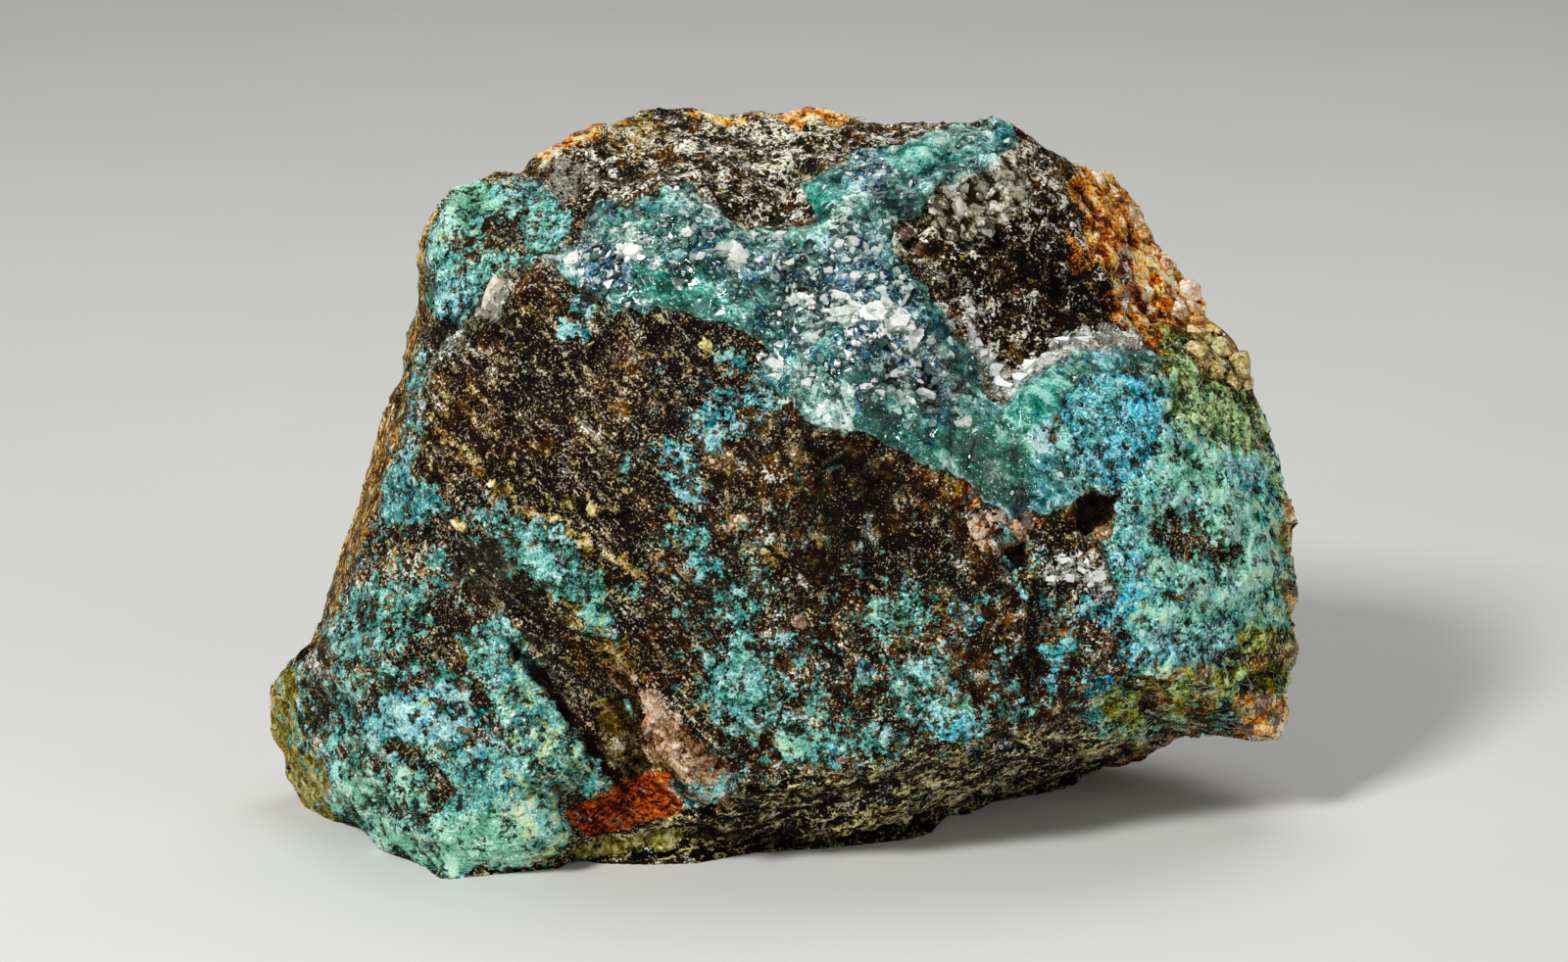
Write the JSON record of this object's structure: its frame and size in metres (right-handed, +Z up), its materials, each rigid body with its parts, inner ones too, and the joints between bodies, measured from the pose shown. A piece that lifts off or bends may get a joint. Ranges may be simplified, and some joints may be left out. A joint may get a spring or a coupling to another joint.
{
  "type": "plancheite mineral specimen",
  "caption": "Broken hand specimen of plancheite: turquoise crust and green veins over dark rock, standing on a flat fracture.",
  "frame": {"origin": "middle of the specimen's bounding box, on the plane it stands on", "axes": "+X to the right across the display face, -Y out of the display face, +Z up"},
  "size_m": [0.0967, 0.0549, 0.064],
  "materials": {
    "rock": "rough broken stone, brown-black and grey, with a matt turquoise crust and glassy green veins"
  },
  "bodies": {
    "root": {"plancheite_rock": "rock"}
  },
  "joints": []
}
